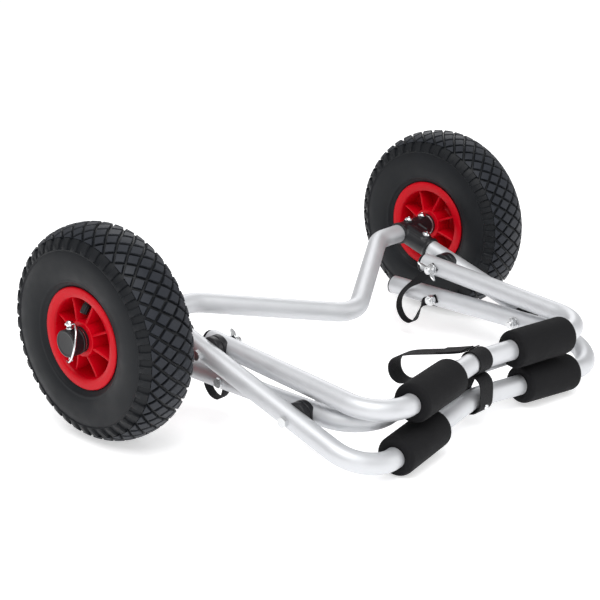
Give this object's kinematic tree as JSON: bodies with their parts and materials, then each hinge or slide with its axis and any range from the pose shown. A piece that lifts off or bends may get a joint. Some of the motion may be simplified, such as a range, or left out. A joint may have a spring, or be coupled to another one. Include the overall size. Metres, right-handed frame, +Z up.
{
  "type": "folding boat trolley",
  "caption": "Folding two-wheel boat trolley, folded flat: padded swing-up cradle frame, prop frame, arch tube and pneumatic wheels on pinned axle stubs",
  "frame": {"origin": "on the floor under the middle of the folded trolley's box", "axes": "+X along the axle to the right wheel, -Y towards the padded bars, +Z up"},
  "size_m": [0.7634, 0.4794, 0.2598],
  "materials": {
    "aluminium_tube": "satin anodised drawn tube",
    "tyre": "moulded rubber with a block tread",
    "butyl": "smooth rubber",
    "rim_plastic": "red moulded plastic, semi gloss",
    "black_plastic": "black moulded nylon, satin",
    "foam": "closed cell foam, matte",
    "webbing": "woven nylon webbing",
    "zinc": "zinc plated fasteners",
    "bright_steel": "bright plated steel",
    "axle_steel": "black painted steel"
  },
  "bodies": {
    "root": {"arch_tube": "aluminium_tube", "axle_end_cap_left": "black_plastic", "axle_end_cap_right": "black_plastic", "axle_stub_left": "axle_steel", "axle_stub_right": "axle_steel", "bracket_left": "black_plastic", "bracket_right": "black_plastic", "bracket_screws": "bright_steel", "cradle_bolts": "zinc", "cradle_outer_saddles": "black_plastic", "limiter_strap_upper_left": "webbing", "limiter_strap_upper_right": "webbing", "lower_frame_tube": "aluminium_tube", "lower_pad_left": "foam", "lower_pad_right": "foam", "pivot_washers": "zinc", "prop_bolts": "zinc", "prop_lock_nuts": "zinc", "prop_outer_saddles": "black_plastic", "spreader_strap_lower": "webbing", "thrust_washers": "zinc"},
    "cradle": {"upper_frame_tube": "aluminium_tube", "upper_pad_left": "foam", "upper_pad_right": "foam", "upper_end_caps": "black_plastic", "cradle_inner_saddles": "black_plastic", "spreader_strap_upper": "webbing"},
    "prop": {"prop_frame_tube": "aluminium_tube", "prop_foot_caps": "black_plastic", "prop_inner_saddles": "black_plastic", "limiter_bolts": "zinc", "limiter_nuts": "zinc", "limiter_strap_lower_left": "webbing", "limiter_strap_lower_right": "webbing"},
    "wheel_left": {"tyre_left": "tyre", "inner_tube_left": "butyl", "rim_left": "rim_plastic", "hub_bushes_left": "black_plastic", "valve_stem_left": "butyl", "valve_cap_left": "black_plastic"},
    "wing_nut_left": {"wing_nut_left": "zinc"},
    "lynch_pin_left": {"lynch_pin_left": "bright_steel"},
    "lynch_bow_left": {"lynch_bow_left": "bright_steel"},
    "wheel_right": {"tyre_right": "tyre", "inner_tube_right": "butyl", "rim_right": "rim_plastic", "hub_bushes_right": "black_plastic", "valve_stem_right": "butyl", "valve_cap_right": "black_plastic"},
    "wing_nut_right": {"wing_nut_right": "zinc"},
    "lynch_pin_right": {"lynch_pin_right": "bright_steel"},
    "lynch_bow_right": {"lynch_bow_right": "bright_steel"}
  },
  "joints": [
    {"name": "cradle_swing", "type": "hinge", "parent": "root", "child": "cradle", "pos_m": [0, 0.02603, 0.10268], "axis": [-1, 0, 0], "range_deg": [0, 80]},
    {"name": "prop_swing", "type": "hinge", "parent": "root", "child": "prop", "pos_m": [0, -0.11061, 0.05821], "axis": [-1, 0, 0], "range_deg": [0, 40]},
    {"name": "wheel_spin_left", "type": "hinge", "parent": "root", "child": "wheel_left", "pos_m": [-0.32, 0.11, 0.13], "axis": [1, 0, 0], "continuous": true},
    {"name": "wing_nut_turn_left", "type": "hinge", "parent": "root", "child": "wing_nut_left", "pos_m": [-0.186, 0.02603, 0.10268], "axis": [1, 0, 0], "continuous": true},
    {"name": "lynch_pin_pull_left", "type": "slide", "parent": "root", "child": "lynch_pin_left", "axis": [0, 0, 1], "range_m": [0, 0.04]},
    {"name": "lynch_bow_open_left", "type": "hinge", "parent": "lynch_pin_left", "child": "lynch_bow_left", "pos_m": [-0.3685, 0.11, 0.1522], "axis": [-0.8572, 0.515, 0], "range_deg": [0, 90]},
    {"name": "wheel_spin_right", "type": "hinge", "parent": "root", "child": "wheel_right", "pos_m": [0.32, 0.11, 0.13], "axis": [1, 0, 0], "continuous": true},
    {"name": "wing_nut_turn_right", "type": "hinge", "parent": "root", "child": "wing_nut_right", "pos_m": [0.186, 0.02603, 0.10268], "axis": [1, 0, 0], "continuous": true},
    {"name": "lynch_pin_pull_right", "type": "slide", "parent": "root", "child": "lynch_pin_right", "axis": [0, 0, 1], "range_m": [0, 0.04]},
    {"name": "lynch_bow_open_right", "type": "hinge", "parent": "lynch_pin_right", "child": "lynch_bow_right", "pos_m": [0.3685, 0.11, 0.1522], "axis": [-0.8572, -0.515, 0], "range_deg": [0, 90]}
  ],
  "couplings": [
    {"joint": "prop_swing", "follows": "cradle_swing", "ratio": 0.5},
    {"joint": "lynch_pin_pull_left", "follows": "lynch_bow_open_left", "m_per_rad": 0.025465},
    {"joint": "lynch_pin_pull_right", "follows": "lynch_bow_open_right", "m_per_rad": 0.025465}
  ]
}
